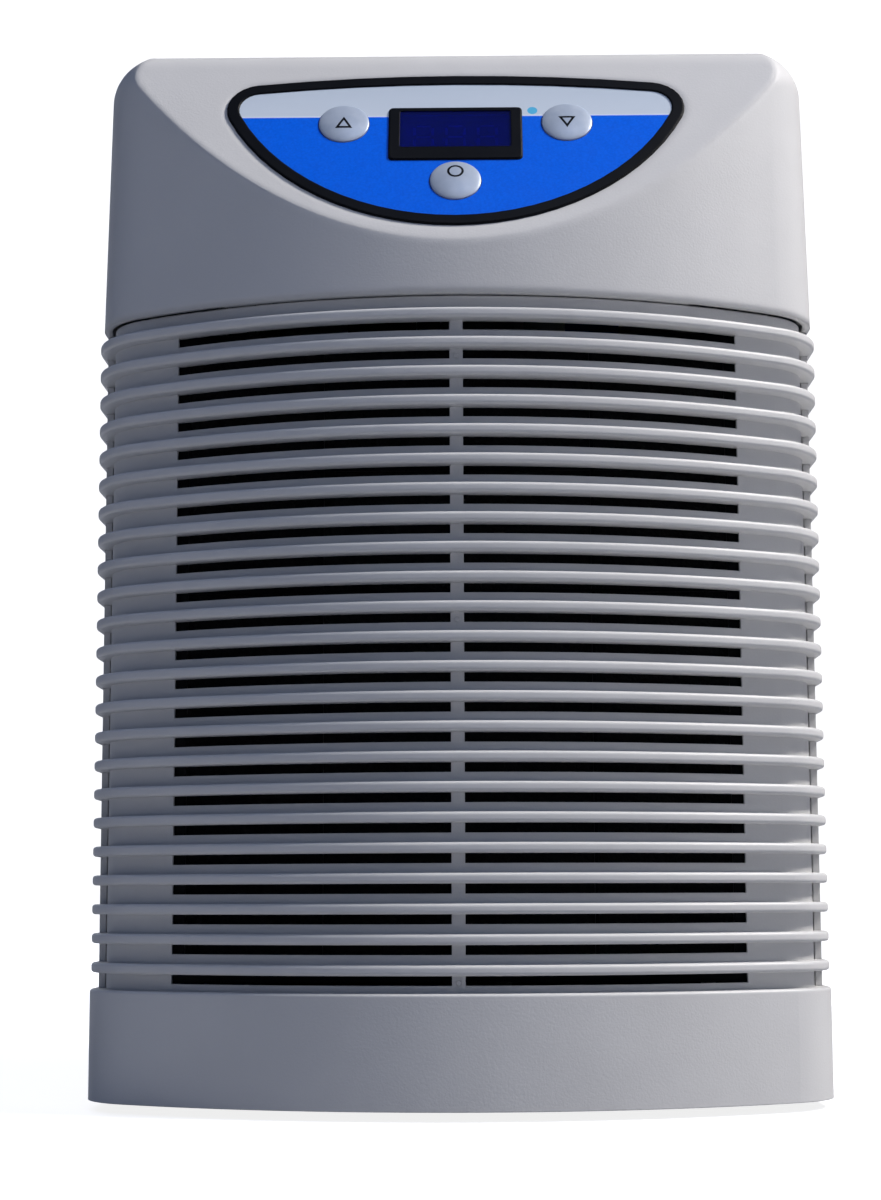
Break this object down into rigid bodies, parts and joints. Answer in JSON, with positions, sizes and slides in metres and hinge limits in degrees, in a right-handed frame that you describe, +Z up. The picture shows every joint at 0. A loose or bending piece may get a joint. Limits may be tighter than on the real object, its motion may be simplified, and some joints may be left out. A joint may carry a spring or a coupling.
{
  "type": "aquarium chiller",
  "caption": "Free-standing aquarium water cooler with a bowed louvred front, sloping half-moon control panel, removable grille with filter, fan, compressor and hose ports.",
  "frame": {"origin": "centre of the bounding box on the floor, under the rubber feet", "axes": "+Z up, the louvred front faces -Y, +X to the viewer's right when facing the front"},
  "size_m": [0.321, 0.394, 0.467],
  "materials": {
    "abs_grey": "fine moulded texture",
    "dark_plastic": "satin moulded",
    "filter_foam": "open-cell foam, matt",
    "black_rubber": "matt",
    "deck_sheet": "powder coated",
    "blue_membrane": "printed film, satin",
    "window_tint": "tinted, polished",
    "led_body": "satin",
    "silver_button": "silver lacquer, satin",
    "board_green": "solder mask",
    "ribbon_grey": "satin",
    "fin_aluminium": "mill finish",
    "copper_tube": "drawn copper, slightly dulled",
    "shaft_steel": "turned",
    "motor_grey": "satin paint",
    "compressor_black": "gloss black enamel",
    "zinc_plate": "zinc plated",
    "titanium": "drawn titanium",
    "vessel_plastic": "moulded",
    "foam": "closed-cell foam, matt",
    "port_plastic": "moulded",
    "probe_steel": "polished",
    "cable_black": "sheathed cable",
    "transformer_core": "varnished laminations",
    "relay_blue": "moulded",
    "can_aluminium": "drawn can",
    "pin_brass": "polished"
  },
  "bodies": {
    "chiller": {"top_cover": "abs_grey", "left_side_panel": "abs_grey", "right_side_panel": "abs_grey", "rear_panel": "abs_grey", "base_tray": "abs_grey", "rubber_feet": "black_rubber", "equipment_deck": "deck_sheet", "panel_gasket": "dark_plastic", "membrane_overlay": "blue_membrane", "display_bezel": "dark_plastic", "display_window": "window_tint", "led_display": "led_body", "display_board": "board_green", "tact_switches": "dark_plastic", "display_ribbon": "ribbon_grey", "condenser_fins": "fin_aluminium", "condenser_tubes": "copper_tube", "condenser_end_plates": "fin_aluminium", "fan_shroud": "dark_plastic", "fan_motor": "motor_grey", "fan_bracket": "deck_sheet", "compressor_shell": "compressor_black", "compressor_feet": "compressor_black", "compressor_grommets": "black_rubber", "compressor_studs": "shaft_steel", "compressor_nuts": "zinc_plate", "terminal_cover": "dark_plastic", "discharge_line": "copper_tube", "liquid_line": "copper_tube", "filter_drier": "copper_tube", "capillary_tube": "copper_tube", "suction_line": "copper_tube", "refrigerant_coil": "titanium", "evaporator_vessel": "vessel_plastic", "evaporator_cap": "vessel_plastic", "cap_seal": "black_rubber", "cap_bolts": "zinc_plate", "evaporator_insulation": "foam", "port_seals": "black_rubber", "hose_tails": "port_plastic", "temperature_probe": "probe_steel", "wiring_loom": "cable_black", "main_board": "board_green", "power_transformer": "transformer_core", "compressor_relay": "relay_blue", "run_capacitor": "can_aluminium", "power_inlet": "dark_plastic", "inlet_pins": "pin_brass", "case_screws": "zinc_plate", "board_screws": "zinc_plate"},
    "grille": {"front_grille": "abs_grey", "air_filter_frame": "dark_plastic", "air_filter_mesh": "filter_foam"},
    "fan": {"fan_impeller": "dark_plastic", "fan_shaft": "shaft_steel"},
    "up_button": {"up_button": "silver_button"},
    "down_button": {"down_button": "silver_button"},
    "set_button": {"set_button": "silver_button"},
    "inlet_nut": {"inlet_nut": "port_plastic"},
    "outlet_nut": {"outlet_nut": "port_plastic"}
  },
  "joints": [
    {"name": "grille_pull", "type": "slide", "parent": "chiller", "child": "grille", "axis": [0, -1, 0], "range_m": [0, 0.08]},
    {"name": "fan_spin", "type": "hinge", "parent": "chiller", "child": "fan", "pos_m": [0, -0.083, 0.1899], "axis": [0, 1, 0], "continuous": true},
    {"name": "up_button_press", "type": "slide", "parent": "chiller", "child": "up_button", "axis": [0, 0.8926, -0.4509], "range_m": [0, 0.0008], "stiffness_N_per_m": 900},
    {"name": "down_button_press", "type": "slide", "parent": "chiller", "child": "down_button", "axis": [0, 0.8926, -0.4509], "range_m": [0, 0.0008], "stiffness_N_per_m": 900},
    {"name": "set_button_press", "type": "slide", "parent": "chiller", "child": "set_button", "axis": [0, 0.8926, -0.4509], "range_m": [0, 0.0008], "stiffness_N_per_m": 900},
    {"name": "inlet_nut_turn", "type": "hinge", "parent": "chiller", "child": "inlet_nut", "pos_m": [0.0864, 0.168, 0.065], "axis": [0, 1, 0], "continuous": true},
    {"name": "outlet_nut_turn", "type": "hinge", "parent": "chiller", "child": "outlet_nut", "pos_m": [0.0864, 0.168, 0.2508], "axis": [0, 1, 0], "continuous": true}
  ]
}
